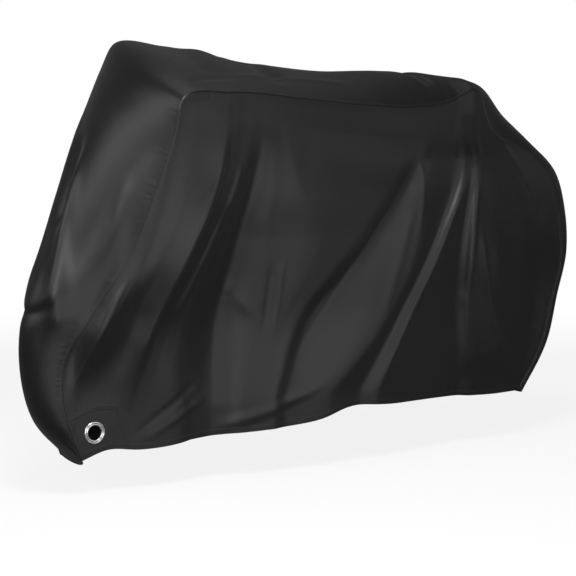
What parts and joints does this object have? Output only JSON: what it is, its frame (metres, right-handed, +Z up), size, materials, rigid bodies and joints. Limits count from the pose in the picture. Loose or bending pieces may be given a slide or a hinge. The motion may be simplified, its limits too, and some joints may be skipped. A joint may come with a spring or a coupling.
{
  "type": "bicycle cover",
  "caption": "Black coated cloth cover draped over a parked bicycle: side panels, a gusset from front to rear, an open hem and a metal eyelet in each front corner.",
  "frame": {"origin": "the point under the top, on the inner face of the gusset at mid length, where the covered bicycle holds the cover up; the ground is 1.06 m below it", "axes": "+X towards the rear wheel, +Y towards the far side, +Z up"},
  "size_m": [1.8011, 0.5408, 1.0727],
  "materials": {
    "cloth": "black coated nylon, satin",
    "eyelet": "bright plated steel"
  },
  "bodies": {
    "root": {"gusset": "cloth", "near_panel": "cloth", "near_corner": "cloth", "far_panel": "cloth", "far_corner": "cloth", "near_grommet": "eyelet", "near_washer": "eyelet", "far_grommet": "eyelet", "far_washer": "eyelet"}
  },
  "joints": []
}
